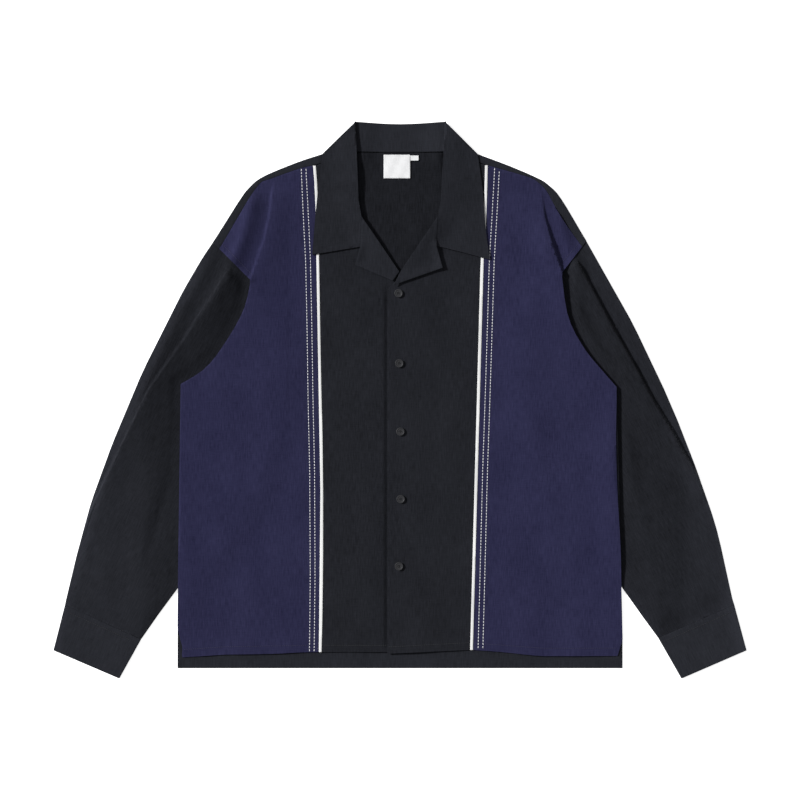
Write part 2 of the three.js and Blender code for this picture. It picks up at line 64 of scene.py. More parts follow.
sun_height, sun_from = radians(34), radians(157)
sun_data = bpy.data.lights.new("sun", "SUN")
sun_data.energy = 4.2
sun_data.angle = radians(7)
sun = bpy.data.objects.new("sun", sun_data)
towards_sun = Vector(
    (cos(sun_height) * cos(sun_from), cos(sun_height) * sin(sun_from), sin(sun_height))
)
sun.rotation_euler = towards_sun.to_track_quat("Z", "Y").to_euler()
bpy.context.scene.collection.objects.link(sun)

sky = bpy.data.worlds.new("sky")
sky.use_nodes = True
sky.node_tree.nodes["Background"].inputs["Color"].default_value = (1, 1, 1, 1)
sky.node_tree.nodes["Background"].inputs["Strength"].default_value = 0.34
bpy.context.scene.world = sky


def new_material(name):
    """A material with its node tree, its shader and a function that adds a node."""
    material = bpy.data.materials.new(name)
    material.use_nodes = True
    tree = material.node_tree

    def add(kind, **values):
        node = tree.nodes.new(kind)
        for key, value in values.items():
            setattr(node, key, value)
        return node

    return material, tree.links.new, tree.nodes["Principled BSDF"], add


table_side, table_top = 6, -0.2 * MM
bpy.ops.mesh.primitive_plane_add(size=table_side, location=(0, 0, table_top))
table = bpy.context.object
table.name = "table"
table_white, _, table_shader, _ = new_material("table_white")
table_shader.inputs["Base Color"].default_value = (0.9, 0.9, 0.9, 1)
table_shader.inputs["Roughness"].default_value = 0.9
table_shader.inputs["Specular IOR Level"].default_value = 0.1
table_shader.inputs["Emission Color"].default_value = (1, 1, 1, 1)
table_shader.inputs["Emission Strength"].default_value = 0.75
table.data.materials.append(table_white)

# ------------------------------------------------------------------ back
# One large panel of soft black twill that lies on the table. It comes forward over the
# shoulders in a narrow strip, shows inside the neck, and hangs a little lower than the fronts.
SHEET_THICK = 1.2  # mm
UPPER_LAYER = 1.4  # mm, above this a point belongs to a layer that lies on another


def ramp(low, high, value):
    """0 below low, 1 above high, and a smooth rise between."""
    t = np.clip((value - low) / (high - low), 0, 1)
    return t * t * (3 - 2 * t)


def from_line(points, at):
    """For each place: its distance from a line, the side it is on (+1 left, -1 right of the way
    the line runs) and how far along the line it is, from 0 to 1."""
    points = np.array(points, float)
    steps = np.diff(points, axis=0)
    lengths = np.hypot(steps[:, 0], steps[:, 1])
    before = np.concatenate([[0], np.cumsum(lengths)])
    best = np.full(len(at), 1e9)
    side, share = np.ones(len(at)), np.zeros(len(at))
    for start, step, length, begun in zip(points, steps, lengths, before):
        away = at - start
        t = np.clip((away @ step) / length**2, 0, 1)
        gap = np.hypot(*(away - t[:, None] * step).T)
        closer = gap < best
        best = np.where(closer, gap, best)
        side = np.where(closer, np.sign(step[0] * away[:, 1] - step[1] * away[:, 0]), side)
        share = np.where(closer, (begun + t * length) / before[-1], share)
    return best, side, share


def fold(points, at, high, left, right, start=0.2, end=0.2):
    """The rise of one soft fold along a line: `left` and `right` are its widths on each side of
    the way the line runs, and it dies out over the shares `start` and `end` of its length."""
    gap, side, share = from_line(points, at)
    width = np.where(side > 0, left, right)
    ends = ramp(0, max(start, 0.001), share) * (1 - ramp(1 - max(end, 0.001), 1, share))
    return high * np.exp(-((gap / width) ** 2)) * ends


def cloth_skin(
    name, node, shape, grid=6.0, grain=0.0, smooth=8, rim=0.35, tone_and_painted_light=0.0, sharp=()
):
    """A thin shell on a solid's form: its skin, joined, cut on an even lattice of `grid` mm,
    smoothed `smooth` times between its rims and shaped by `shape`, which gives each point's
    shift in mm from its x, y and z in mm and from whether it faces up. `grain` turns the weave,
    `rim` is how far the edges are rounded, and `tone_and_painted_light` makes the cloth paler or
    darker, its rims paler still: the cloth's own tone and edge wear, with painted shade and
    painted highlights. Along the `sharp` lines the lattice is finer."""
    skin = bmesh.new()
    skin.from_mesh(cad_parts[node].data)
    bmesh.ops.remove_doubles(skin, verts=skin.verts, dist=0.003 * MM)
    bmesh.ops.dissolve_limit(
        skin, angle_limit=radians(1.2), verts=skin.verts, edges=skin.edges
    )
    low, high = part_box(node)
    off_corners = 0.43  # share of a step by which the lattice keeps off the solids' corners
    for axis in (0, 1):
        count = int((high[axis] - low[axis]) / MM / grid)
        for k in range(count + 1):
            middle, normal = Vector((0, 0, 0)), Vector((0, 0, 0))
            middle[axis] = low[axis] + (k + off_corners) * grid * MM
            normal[axis] = 1
            bmesh.ops.bisect_plane(
                skin,
                geom=skin.verts[:] + skin.edges[:] + skin.faces[:],
                plane_co=middle,
                plane_no=normal,
                dist=0.02 * MM,
            )
    crumb = 0.1 * MM
    bmesh.ops.remove_doubles(skin, verts=skin.verts, dist=crumb)
    bmesh.ops.dissolve_degenerate(skin, edges=skin.edges, dist=crumb)
    skin.normal_update()
    flat_enough, sliver = 0.6, 0.45 * MM

    def lies_flat(face):
        """True on the upper and lower faces, and on slivers, which are too thin to say."""
        longest = max(e.calc_length() for e in face.edges)
        return abs(face.normal.z) > flat_enough or face.calc_area() < sliver * longest

    def between_rims():
        return [v for v in skin.verts if all(lies_flat(f) for f in v.link_faces)]

    # short edges are drawn together, and the few small holes that this leaves are filled
    inner = set(between_rims())
    shortest = 0.3 * grid * MM
    tight = [
        e
        for e in skin.edges
        if e.calc_length() < shortest and all(v in inner for v in e.verts)
    ]
    bmesh.ops.collapse(skin, edges=tight)
    open_edges = [e for e in skin.edges if e.is_boundary]
    bmesh.ops.holes_fill(skin, edges=open_edges, sides=8)
    skin.normal_update()
    inner = between_rims()
    for _ in range(smooth):
        bmesh.ops.smooth_vert(skin, verts=inner, factor=0.5, use_axis_z=True)
    inside = set(inner)
    # each point's paleness: the cloth's own tone, with painted shade and painted highlights
    pale_and_painted_light = skin.verts.layers.float.new("pale_and_painted_light")
    finer_within = 10  # mm
    for line in sharp:
        skin.verts.index_update()
        gaps = from_line(line, np.array([v.co.xy for v in skin.verts]) / MM)[0]
        near = [e for e in skin.edges if all(gaps[v.index] < finer_within for v in e.verts)]
        bmesh.ops.subdivide_edges(skin, edges=near, cuts=2, use_grid_fill=True)
        skin.normal_update()
        inside |= set(between_rims())
    x, y, z = (np.array([v.co for v in skin.verts]) / MM).T
    each_tone_and_painted_light = tone_and_painted_light(x, y) if callable(tone_and_painted_light) else np.full(len(x), tone_and_painted_light)
    # the rims are paler still: edge wear, and a painted highlight where rounded edges catch the
    # light
    rim_wear_and_painted_highlight = 0.6
    for v, paler in zip(skin.verts, each_tone_and_painted_light):
        v[pale_and_painted_light] = paler if v in inside else paler + rim_wear_and_painted_highlight
    up = np.array([v.normal.z for v in skin.verts])
    for v, *shift in zip(skin.verts, *shape(x, y, z, up)):
        v.co += Vector(shift) * MM
    across = skin.loops.layers.uv.new("grain")
    turn = Matrix.Rotation(-grain, 2)
    for face in skin.faces:
        face.smooth = True
        for loop in face.loops:
            loop[across].uv = turn @ loop.vert.co.xy
    mesh = bpy.data.meshes.new(name)
    skin.to_mesh(mesh)
    skin.free()
    piece = bpy.data.objects.new(name, mesh)
    bpy.context.scene.collection.objects.link(piece)
    soften(piece, rim)
    return piece


def soften(piece, width, angle=50):
    """Rounds a piece's edges, drops the empty faces that this leaves and shades it smooth."""
    bevel = piece.modifiers.new("rim", "BEVEL")
    bevel.width = width * MM
    bevel.segments = 2
    bevel.limit_method = "ANGLE"
    bevel.angle_limit = radians(angle)
    bevel.miter_outer = "MITER_ARC"
    bpy.ops.object.select_all(action="DESELECT")
    piece.select_set(True)
    bpy.context.view_layer.objects.active = piece
    bpy.ops.object.modifier_apply(modifier=bevel.name)
    skin = bmesh.new()
    skin.from_mesh(piece.data)
    bmesh.ops.dissolve_degenerate(skin, edges=skin.edges, dist=0.002 * MM)
    skin.to_mesh(piece.data)
    skin.free()
    bpy.ops.object.shade_smooth_by_angle(angle=radians(38))


def wave_scale(period):
    """The Scale that gives a Wave texture this period."""
    return 0.3142 / period


def cloth(name, dark, light, streaks, pale_and_painted_light_gain=0.5):
    """Woven cloth: a plain weave of fine threads, thicker threads here and there that run
    mostly down the cloth, faint washed patches, and each point's own paleness from its piece:
    the cloth's tone, edge wear, painted shade and painted highlights. `streaks` is how uneven
    the threads are, and `pale_and_painted_light_gain` how much that paleness shows."""
    material, link, shader, add = new_material(name)
    grain = add("ShaderNodeUVMap", uv_map="grain")

    def noise(across, down, detail):
        mapping = add("ShaderNodeMapping")
        mapping.inputs["Scale"].default_value = (across, down, 1)
        texture = add("ShaderNodeTexNoise")
        texture.inputs["Scale"].default_value = 1
        texture.inputs["Detail"].default_value = detail
        link(grain.outputs["UV"], mapping.inputs["Vector"])
        link(mapping.outputs["Vector"], texture.inputs["Vector"])
        return texture.outputs["Fac"]

    def threads(direction):
        wave = add("ShaderNodeTexWave", bands_direction=direction)
        wave.inputs["Scale"].default_value = wave_scale(0.6 * MM)
        wave.inputs["Distortion"].default_value = 1.2
        wave.inputs["Detail Scale"].default_value = 2
        link(grain.outputs["UV"], wave.inputs["Vector"])
        return wave.outputs["Fac"]

    def times_plus(value, times, plus):
        node = add("ShaderNodeMath", operation="MULTIPLY_ADD")
        link(value, node.inputs[0])
        node.inputs[1].default_value = times
        if isinstance(plus, (int, float)):
            node.inputs[2].default_value = plus
        else:
            link(plus, node.inputs[2])
        return node.outputs[0]

    # thick threads down and across the cloth, and washed patches: how many to the metre each way
    down = noise(760, 70, 4)
    across = noise(90, 700, 4)
    patches = noise(24, 12, 2)
    weave = add("ShaderNodeMath", operation="MAXIMUM")
    link(threads("X"), weave.inputs[0])
    link(threads("Y"), weave.inputs[1])
    # this reads each point's paleness: the cloth's own tone and edge wear, and also painted
    # shade and painted highlights
    painted_light_and_tone = add("ShaderNodeAttribute", attribute_name="pale_and_painted_light")

    shade = times_plus(down, 1.2 * streaks, -0.85 * streaks)
    shade = times_plus(across, 0.5 * streaks, shade)
    shade = times_plus(patches, 0.7, shade)
    shade = times_plus(weave.outputs[0], 0.3, shade)
    shade = times_plus(painted_light_and_tone.outputs["Fac"], pale_and_painted_light_gain, shade)
    positive = add("ShaderNodeMath", operation="MAXIMUM")
    link(times_plus(shade, 1.0, 0.05), positive.inputs[0])
    positive.inputs[1].default_value = 0
    colour = add("ShaderNodeMix", data_type="RGBA", clamp_factor=False)
    colour.inputs["A"].default_value = (*dark, 1)
    colour.inputs["B"].default_value = (*light, 1)
    link(positive.outputs[0], colour.inputs["Factor"])
    link(colour.outputs["Result"], shader.inputs["Base Color"])

    height = times_plus(down, 0.9, weave.outputs[0])
    height = times_plus(across, 0.4, height)
    bump = add("ShaderNodeBump")
    bump.inputs["Strength"].default_value = 0.5
    bump.inputs["Distance"].default_value = 0.11 * MM
    link(height, bump.inputs["Height"])
    link(bump.outputs["Normal"], shader.inputs["Normal"])
    link(times_plus(down, 0.12, 0.82), shader.inputs["Roughness"])
    shader.inputs["Specular IOR Level"].default_value = 0.06
    shader.inputs["Sheen Weight"].default_value = 0.02
    shader.inputs["Sheen Roughness"].default_value = 0.5
    return material


def finish_cloth(piece, node, material, flat):
    """Gives a sheet its cloth, hides its solid and hangs it on the root. `flat`, the size it was
    cut to, is not used.
    """
    piece.data.materials.append(material)
    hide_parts(node)
    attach(piece, "root")


# Each side of the garment, from where the body starts to lie over the sleeve down to the vent.
LEFT_EDGE = [(-205, 167), (-215, 125), (-240, 80), (-268, 44), (-302, 22)]
LEFT_EDGE += [(-304, -91), (-305.5, -221), (-307, -330)]
RIGHT_EDGE = [(222, 177), (231, 116), (253, 72), (279, 40), (298, 18)]
RIGHT_EDGE += [(300, -91), (304, -221), (307, -330)]

# The upper armholes, where the sleeves are sewn on: top, foot, and the way that leads outwards.
ARMHOLES = (
    ((-257, 219), (-205, 167), (-0.56, -0.83)),
    ((256, 221), (222, 177), (0.55, -0.84)),
)

# The crest that comes down from each shoulder to the top of the body's edge.
LEFT_CREST = [(-172, 306), (-175, 292), (-178, 262), (-186, 221), (-196, 193), (-205, 167)]
RIGHT_CREST = [(191, 306), (194, 290), (199, 252), (206, 225), (213, 203), (219, 186)]
RIGHT_CREST += [(223, 172)]


def lapped_over_sleeves(x, y, rise):
    """Adds to a rise the crests at the shoulders and the spring of the body's edges over the
    sleeves. At the upper armholes the body's turned edge reaches a little way on to the
    sleeve, which the first two results give."""
    at = np.column_stack([x, y])
    tucked = 1 - ramp(-215, -262, y)
    left_high = np.interp(y, (90, 180), (1.5, 3.9)) * tucked
    right_low = (-200, -120, -50, 30, 100, 135, 175, 215, 245, 285)
    right_rises = (3.2, 3.8, 3.8, 2.5, 3.2, 4.2, 5.5, 6.5, 3.5, 0.8)
    right_high = np.interp(y, right_low, right_rises) * tucked
    rise = rise + fold(LEFT_CREST + LEFT_EDGE[1:], at, left_high, 26, 1.7, 0.05, 0)
    rise = rise + fold(RIGHT_CREST + RIGHT_EDGE[1:], at, right_high, 1.7, 28, 0.07, 0)
    across, down = np.zeros(len(x)), np.zeros(len(x))
    lap_rise, lap_reach = 1.35, 2.1
    for top, foot, (out, under) in ARMHOLES:
        gap = from_line([top, foot], at)[0]
        rise = rise + lap_rise * (1 - ramp(0, 8, gap))
        reach = lap_reach * (1 - ramp(0, 9, gap))
        across += reach * out
        down += reach * under
    return across, down, rise


# The tops of the shoulders, where the back is folded forward.
SHOULDERS = [(-257, 219), (-223, 273), (-208, 293), (-189, 308), (-145, 326.5), (-107, 339)]
SHOULDERS += [(107, 339), (152, 322.5), (190, 306), (204, 297), (222, 278), (256, 221)]
COLLAR_SIDE = 90  # mm from the middle, beyond it the shoulders are clear of the collar


def back_shape(x, y, z, up):
    across, down, rise = lapped_over_sleeves(x, y, np.zeros(len(x)))
    out = np.abs(x)
    from_shoulder = from_line(SHOULDERS, np.column_stack([x, y]))[0]
    strip = (z > UPPER_LAYER) & (from_shoulder < 20) & (out > COLLAR_SIDE)
    rise *= np.where(strip, 1, ramp(175, 120, y))
    # The collar's fall, hidden below, lifts the back inside the neck in one long slope, and its
    # edge climbs beside the stand towards the roll of the collar.
    level = 1.5 * ramp(150, 318, y) + 4.0 * ramp(24, 57, out) * ramp(300, 342, y)
    inside = (1 - ramp(56, 62, out)) * ramp(120, 150, y)
    rise += (np.where(up > 0, SHEET_THICK, 0) + level - z - rise) * inside
    neck_edge, seam_drop = 341.8, 1.5
    neck_seam = (np.abs(y - neck_edge) < 0.6) & (out < 70)
    return across * strip, down * strip - seam_drop * neck_seam, rise


def back_tone_and_painted_light(x, y):
    """Painted shade: darker inside the neck. Paler on the turned-up hem, and a painted highlight
    along the tops of the shoulders.
    """
    # painted shade inside the neck
    inside = ramp(140, 160, y) * (1 - ramp(60, 75, np.abs(x)))
    # a painted highlight along the tops of the shoulders
    painted_light_and_tone = 1 - ramp(2, 26, from_line(SHOULDERS, np.column_stack([x, y]))[0])
    hem = ramp(345, 352, -y)
    return -0.74 * inside + 0.5 * hem + 0.6 * painted_light_and_tone * (np.abs(x) > COLLAR_SIDE)


black_twill = cloth(
    "black_twill", dark=(0.0045, 0.0049, 0.0065), light=(0.0151, 0.0161, 0.0207), streaks=1.5
)
back = cloth_skin("back_panel", "back", back_shape, smooth=26, tone_and_painted_light=back_tone_and_painted_light)
finish_cloth(
    back, "back", black_twill, (0.614, 0.732)
)

# ------------------------------------------------------------------ side fronts
# The navy panels from the piping to the side seams. They lie almost flat on the back. Towards
# each shoulder the cloth has soft folds that lead on into the sleeve tucked below.
SHOULDER_SEAM = [(-194, 297), (-140, 318), (-107, 327), (107, 328)]
SHOULDER_SEAM += [(139, 318), (190, 300), (203, 287)]

# The second fold of each shoulder, outside its crest.
LEFT_SECOND = [(-198, 300), (-205, 270), (-213, 236), (-224, 204), (-236, 178), (-250, 154)]
LEFT_SECOND += [(-264, 130), (-282, 98)]
RIGHT_SECOND = [(214, 272), (226, 232), (238, 196), (254, 160)]


def shoulder_folds(at):
    """The folds that run from the shoulders over the armhole seam."""
    left = fold(LEFT_SECOND, at, 7.0, 15, 10, 0.15, 0.5)
    return left + fold(RIGHT_SECOND, at, 3.0, 8, 8)


def body_rise(x, y):
    """The rise of the fronts above their solids, and of all that lies on them."""
    at = np.column_stack([x, y])
    rise = shoulder_folds(at)
    placket_edge, step = -17.5, 2.1
    drop = step * (1 - ramp(placket_edge - 6, placket_edge + 1, x)) * ramp(-104, -36, x)
    rise += drop * (1 - ramp(140, 170, y))
    # each soft swell: its line, how high it is, its widths, and how it dies out
    for line, *size in (
        ([(-14.5, 150), (-14.5, -100), (-14.5, -352)], 0.4, 9, 3, 0.05, 0.01),
        ([(-60, 320), (-57, 276), (-53, 253), (-4, 180)], -0.8, 16, 16, 0.1, 0.1),
        ([(60, 300), (56, 276), (52, 253), (8, 186)], 0.8, 16, 16, 0.2, 0.2),
        ([(-262, 120), (-200, 88), (-140, 92)], 1.6, 26, 20, 0.3, 0.4),
        ([(-290, 6), (-225, 20), (-140, 8)], 1.5, 22, 30, 0.3, 0.4),
        ([(-285, -150), (-200, -120), (-60, -160)], 1.2, 34, 26, 0.4, 0.4),
        ([(-90, -190), (-50, -250), (-20, -320)], 1.1, 18, 26, 0.3, 0.3),
        ([(-270, -310), (-200, -250), (-150, -170)], 1.2, 30, 30, 0.3, 0.4),
        ([(275, -20), (210, -10), (130, -60)], 1.3, 26, 30, 0.3, 0.4),
        ([(280, -240), (215, -200), (150, -110)], 1.3, 30, 30, 0.3, 0.4),
        ([(60, -210), (72, -120), (60, 20)], 1.0, 20, 24, 0.4, 0.4),
        ([(232, 100), (190, 70), (140, 80)], 1.3, 26, 22, 0.3, 0.4),
    ):
        rise += fold(line, at, *size)
    # the cloth is held down where it is sewn: side seams, shoulders and hem
    for edge in (LEFT_EDGE, RIGHT_EDGE):
        rise *= ramp(0, 18, from_line(edge, at)[0])
    rise *= ramp(0, 14, from_line(SHOULDER_SEAM, at)[0])
    rise *= ramp(-352, -325, y)
    hem_lift = 1.4 + 0.5 * np.sin(x * 0.031 + 1) + 0.3 * np.sin(x * 0.11)
    rise += hem_lift * (1 - ramp(-350, -318, y)) * ramp(-306, -270, -np.abs(x))
    return lapped_over_sleeves(x, y, rise)[2]


def front_shape(x, y, z, up):
    across, down, _ = lapped_over_sleeves(x, y, 0 * x)
    # The left vent's corner is drawn in a little, and so are the right side seam below the
    # armhole and the hem between the stitching.
    across += 4 * ramp(-312, -332, y) * (1 - ramp(-340, -354, y)) * ramp(-290, -304, x)
    across -= 2.6 * ramp(20, -60, y) * (1 - ramp(-110, -220, y)) * ramp(278, 298, x)
    down += 1.5 * ramp(-325, -350, y) * ramp(185, 130, np.abs(x))
    return across, down, body_rise(x, y)


navy_twill = cloth(
    "navy_twill", dark=(0.0113, 0.0112, 0.0347), light=(0.0277, 0.0272, 0.07), streaks=1.35
)
side_sizes = {"left": ((0.1969, 0.6777), 0.105), "right": ((0.2062, 0.6762), 0.108)}
side_fronts = {}
for side, (flat, area) in side_sizes.items():
    node = "front_side_" + side
    sharp = [LEFT_CREST, LEFT_SECOND] if side == "left" else [RIGHT_CREST]
    panel = cloth_skin(node + "_panel", node, front_shape, grid=4.2, smooth=16, sharp=sharp)
    finish_cloth(panel, node, navy_twill, flat)
    side_fronts[side] = panel

# ------------------------------------------------------------------ centre fronts
# The black panels between the piping and the button line. The right one laps over the left, and
# its folded edge stands a little proud down the middle.
centre_sizes = {
    "left": ((0.1332, 0.6847), 0.0757, 0.36),
    "right": ((0.1342, 0.6867), 0.0739, 0.5),
}
placket_line = [(-20, 160), (-20, -352)]
centre_fronts = {}
for side, (flat, area, pale) in centre_sizes.items():
    node = "front_centre_" + side
    panel = cloth_skin(
        node + "_panel",
        node,
        front_shape,
        grid=4.2,
        smooth=26,
        tone_and_painted_light=pale,
        sharp=[placket_line],
    )
    finish_cloth(panel, node, black_twill, flat)
    centre_fronts[side] = panel

# ------------------------------------------------------------------ piping
# A strip of white cotton folded over a thin cord and caught in each seam between navy and
# black, from the shoulder down to the hem. It stands a little proud of both.
white_cotton = cloth(
    "white_cotton",
    dark=(0.62, 0.62, 0.62),
    light=(0.86, 0.86, 0.85),
    streaks=0.5,
    pale_and_painted_light_gain=0.1,
)
for side, length in (("left", 0.672), ("right", 0.67)):
    node, flat = "piping_" + side, (0.0105, length)
    piping = cloth_skin(node + "_cord", node, front_shape, grid=5, smooth=0, rim=0.85)
    finish_cloth(piping, node, white_cotton, flat)

# ------------------------------------------------------------------ stitching
# Two rows of thick white thread down each navy panel beside the piping, and fine rows in thread
# of the cloth's colour along the hem and armholes. Each stitch is a small grain that lies on
# the cloth.
def grain_of_thread(length, width, height):
    """One stitch lying along X: rounded ends and a fuller middle."""
    bpy.ops.object.select_all(action="DESELECT")
    bpy.ops.mesh.primitive_cylinder_add(
        vertices=6, radius=width / 2, depth=length * 0.7, rotation=(0, pi / 2, 0)
    )
    stitch = bpy.context.object
    bpy.ops.object.transform_apply(location=True, rotation=True, scale=True)
    bpy.ops.object.mode_set(mode="EDIT")
    skin = bmesh.from_edit_mesh(stitch.data)
    tip_length, tip_width = length * 0.15, 0.45
    for end in (-1, 1):
        for face in skin.faces:
            face.select_set(face.normal.x * end > 0.9)
        bpy.ops.mesh.extrude_region_move(
            TRANSFORM_OT_translate={"value": (end * tip_length, 0, 0)}
        )
        bpy.ops.transform.resize(
            value=(1, tip_width, tip_width), center_override=(end * length / 2, 0, 0)
        )
    bpy.ops.object.mode_set(mode="OBJECT")
    stitch.data.transform(Matrix.Diagonal((1, 1, height / width, 1)))
    return stitch


def drop_on(pieces):
    """A function that gives the height of the cloth at a place."""
    trees = []
    for piece in pieces:
        points = [v.co for v in piece.data.vertices]
        trees.append(BVHTree.FromPolygons(points, [p.vertices for p in piece.data.polygons]))
    above, downwards = 0.1, Vector((0, 0, -1))

    def height(x, y):
        hits = [tree.ray_cast(Vector((x, y, above)), downwards)[0] for tree in trees]
        hits = [hit.z for hit in hits if hit]
        return max(hits) if hits else None

    return height


def sew(name, rows, spacing, size, on, material):
    """Rows of stitches, `spacing` mm from one to the next, along lines given in mm. `size` is
    a stitch's length, width and height."""
    stitch = grain_of_thread(*(s * MM for s in size))
    stands_up = 0.1 * MM
    height = drop_on(on)
    corners, faces = [], []
    shape = [v.co.copy() for v in stitch.data.vertices]
    sides = [tuple(p.vertices) for p in stitch.data.polygons]
    for row in rows:
        for start, end in zip(row, row[1:]):
            run = Vector(end) - Vector(start)
            count = max(1, round(run.length / spacing))
            for k in range(count):
                middle = (Vector(start) + run * (k + 0.5) / count) * MM
                half = run.normalized() * size[0] / 2 * MM
                tail, tip = height(*(middle - half)), height(*(middle + half))
                if tail is None or tip is None:
                    continue
                slope = atan2(tip - tail, 2 * half.length)
                place = (
                    Matrix.Translation((*middle, (tail + tip) / 2 + stands_up))
                    @ Matrix.Rotation(atan2(run.y, run.x), 4, "Z")
                    @ Matrix.Rotation(-slope, 4, "Y")
                )
                first = len(corners)
                corners += [place @ v for v in shape]
                faces += [tuple(first + i for i in side) for side in sides]
    mesh = bpy.data.meshes.new(name)
    mesh.from_pydata(corners, [], faces)
    mesh.update()
    bpy.data.objects.remove(stitch)
    thread = bpy.data.objects.new(name, mesh)
    bpy.context.scene.collection.objects.link(thread)
    mesh.polygons.foreach_set("use_smooth", [True] * len(mesh.polygons))
    mesh.materials.append(material)
    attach(thread, "root")


def thread_material(name, colour, pale):
    """Twisted thread: fine slanting plies, a little glossier than the cloth."""
    material, link, shader, add = new_material(name)
    where = add("ShaderNodeTexCoord")
    plies = add("ShaderNodeTexWave", bands_direction="DIAGONAL")
    plies.inputs["Scale"].default_value = wave_scale(0.5 * MM)
    plies.inputs["Distortion"].default_value = 1.5
    link(where.outputs["Object"], plies.inputs["Vector"])
    mix = add("ShaderNodeMix", data_type="RGBA")
    mix.inputs["A"].default_value = (*colour, 1)
    mix.inputs["B"].default_value = (*pale, 1)
    link(plies.outputs["Fac"], mix.inputs["Factor"])
    link(mix.outputs["Result"], shader.inputs["Base Color"])
    bump = add("ShaderNodeBump")
    bump.inputs["Distance"].default_value = 0.1 * MM
    bump.inputs["Strength"].default_value = 0.4
    link(plies.outputs["Fac"], bump.inputs["Height"])
    link(bump.outputs["Normal"], shader.inputs["Normal"])
    shader.inputs["Roughness"].default_value = 0.6
    shader.inputs["Specular IOR Level"].default_value = 0.2
    return material


white_thread = thread_material("white_thread", (0.62, 0.62, 0.64), (0.84, 0.84, 0.85))
black_thread = thread_material("black_thread", (0.017, 0.0175, 0.02), (0.034, 0.035, 0.04))
navy_thread = thread_material("navy_thread", (0.022, 0.021, 0.05), (0.04, 0.038, 0.085))

# Down each panel: y, and how far the inner and the outer row are from the middle.
double_rows = {
    "left": [
        (319, 129.5, 136), (250, 126, 133), (193, 123.4, 130), (100, 121.4, 128),
        (0, 119.8, 126.6), (-100, 117.6, 124.3), (-243, 117, 123.6), (-347, 118.2, 124.6),
    ],
    "right": [
        (320, 130.6, 137.2), (250, 126.8, 133.4), (193, 123.3, 130), (100, 120.6, 127.2),
        (0, 117.4, 124), (-100, 114, 120.6), (-243, 110.4, 117), (-347, 107.6, 114.2),
    ],
}
thick_spacing, thick_stitch = 4.25, (2.9, 1.05, 0.7)
for side, sign in (("left", -1), ("right", 1)):
    rows = [[(sign * row[k], row[0]) for row in double_rows[side]] for k in (1, 2)]
    sew(
        "stitching_" + side, rows, thick_spacing, thick_stitch, [side_fronts[side]],
        white_thread,
    )

hem_spacing, hem_stitch = 3.0, (2.3, 0.8, 0.5)
sew(
    "hem_stitching",
    [[(-108, -338), (-18, -338)], [(-16, -340), (96, -334.5)]],
    hem_spacing, hem_stitch, list(centre_fronts.values()), black_thread,
)
sew(
    "hem_stitching_navy",
    [[(-298, -344), (-241, -340), (-128, -338)], [(102, -335), (198, -342), (298, -342)]],
    hem_spacing, hem_stitch, list(side_fronts.values()), navy_thread,
)
seam_spacing, armhole_stitch = 2.8, (2.2, 0.7, 0.5)
sew(
    "armhole_stitching",
    [[(-247, 217), (-202, 171)], [(249, 219), (217, 182)]],
    seam_spacing, armhole_stitch, list(side_fronts.values()), navy_thread,
)

# ------------------------------------------------------------------ sleeves
# Long black sleeves, each a flattened tube tucked under the body and swung out beside it. The
# upper layer puffs up a little and carries a long fold from the shoulder down past the elbow.
LEFT_OUTER = [(-257, 219), (-275, 192), (-302, 145), (-331, 88), (-359, 30), (-393, -51)]
LEFT_OUTER += [(-411, -99), (-428, -148), (-446, -214), (-459, -268), (-478, -345)]
RIGHT_OUTER = [(256, 221), (285, 170), (317, 113), (348, 50), (371, 0), (390, -46)]
RIGHT_OUTER += [(416, -115), (437, -179), (452, -245), (458, -272), (478, -345)]
LEFT_INNER = [(-219, -122), (-243, -172), (-284, -229), (-334, -297), (-357, -330)]
LEFT_INNER += [(-387, -384)]
RIGHT_INNER = [(222, -127), (254, -190), (300, -250), (334, -298), (356, -328), (388, -384)]
LEFT_RIDGE = [(-232, 184), (-244, 166), (-258, 143), (-276, 117), (-297, 83), (-322, 48)]
LEFT_RIDGE += [(-345, 14), (-362, -20), (-392, -82), (-420, -140), (-437, -180)]
RIGHT_RIDGE = [(241, 194), (263, 154), (284, 115), (305, 77), (324, 44), (346, 2)]
RIGHT_RIDGE += [(370, -37), (386, -66), (403, -94), (419, -123), (429, -143)]


def puffed(at, body_edge, outer, inner, visible):
    """How far the upper layer may rise: none under the body or at the tube's edges. Then the
    same for a crest that runs out to the edge, and how full the sleeve is. `visible` is the
    side of the body's edge that the sleeve comes out on."""
    gap, side, _ = from_line(body_edge, at)
    beyond = (side == visible) | (at[:, 1] > body_edge[0][1])
    wrist = from_line([outer[-2], inner[-2]], at)[0]
    clear = np.where(beyond, ramp(2, 18, gap), 0) * (0.15 + 0.85 * ramp(0, 26, wrist))
    clear *= ramp(0, 12, from_line(inner, at)[0])
    outward = from_line(outer, at)[0]
    top, foot, _ = ARMHOLES[0 if visible < 0 else 1]
    filled = ramp(4, 60, from_line([top, foot], at)[0]) * ramp(4, 56, gap)
    return clear * ramp(0, 15, outward), clear * ramp(0, 2.5, outward), filled


def sleeve_shift(armhole, at, z, up, rise):
    """Lays the upper layer at its flat height plus `rise`. Its end runs a little way up under
    the body's edge, and the lower layer stays as it is."""
    top, foot, (out, under) = armhole
    upper = z > UPPER_LAYER
    tuck = -1.3 * (1 - ramp(0, 4, from_line([top, foot], at)[0])) * upper
    flat_height = np.where(up > 0, 2.7, 1.5)
    return tuck * out, tuck * under, upper * (flat_height + rise - z)


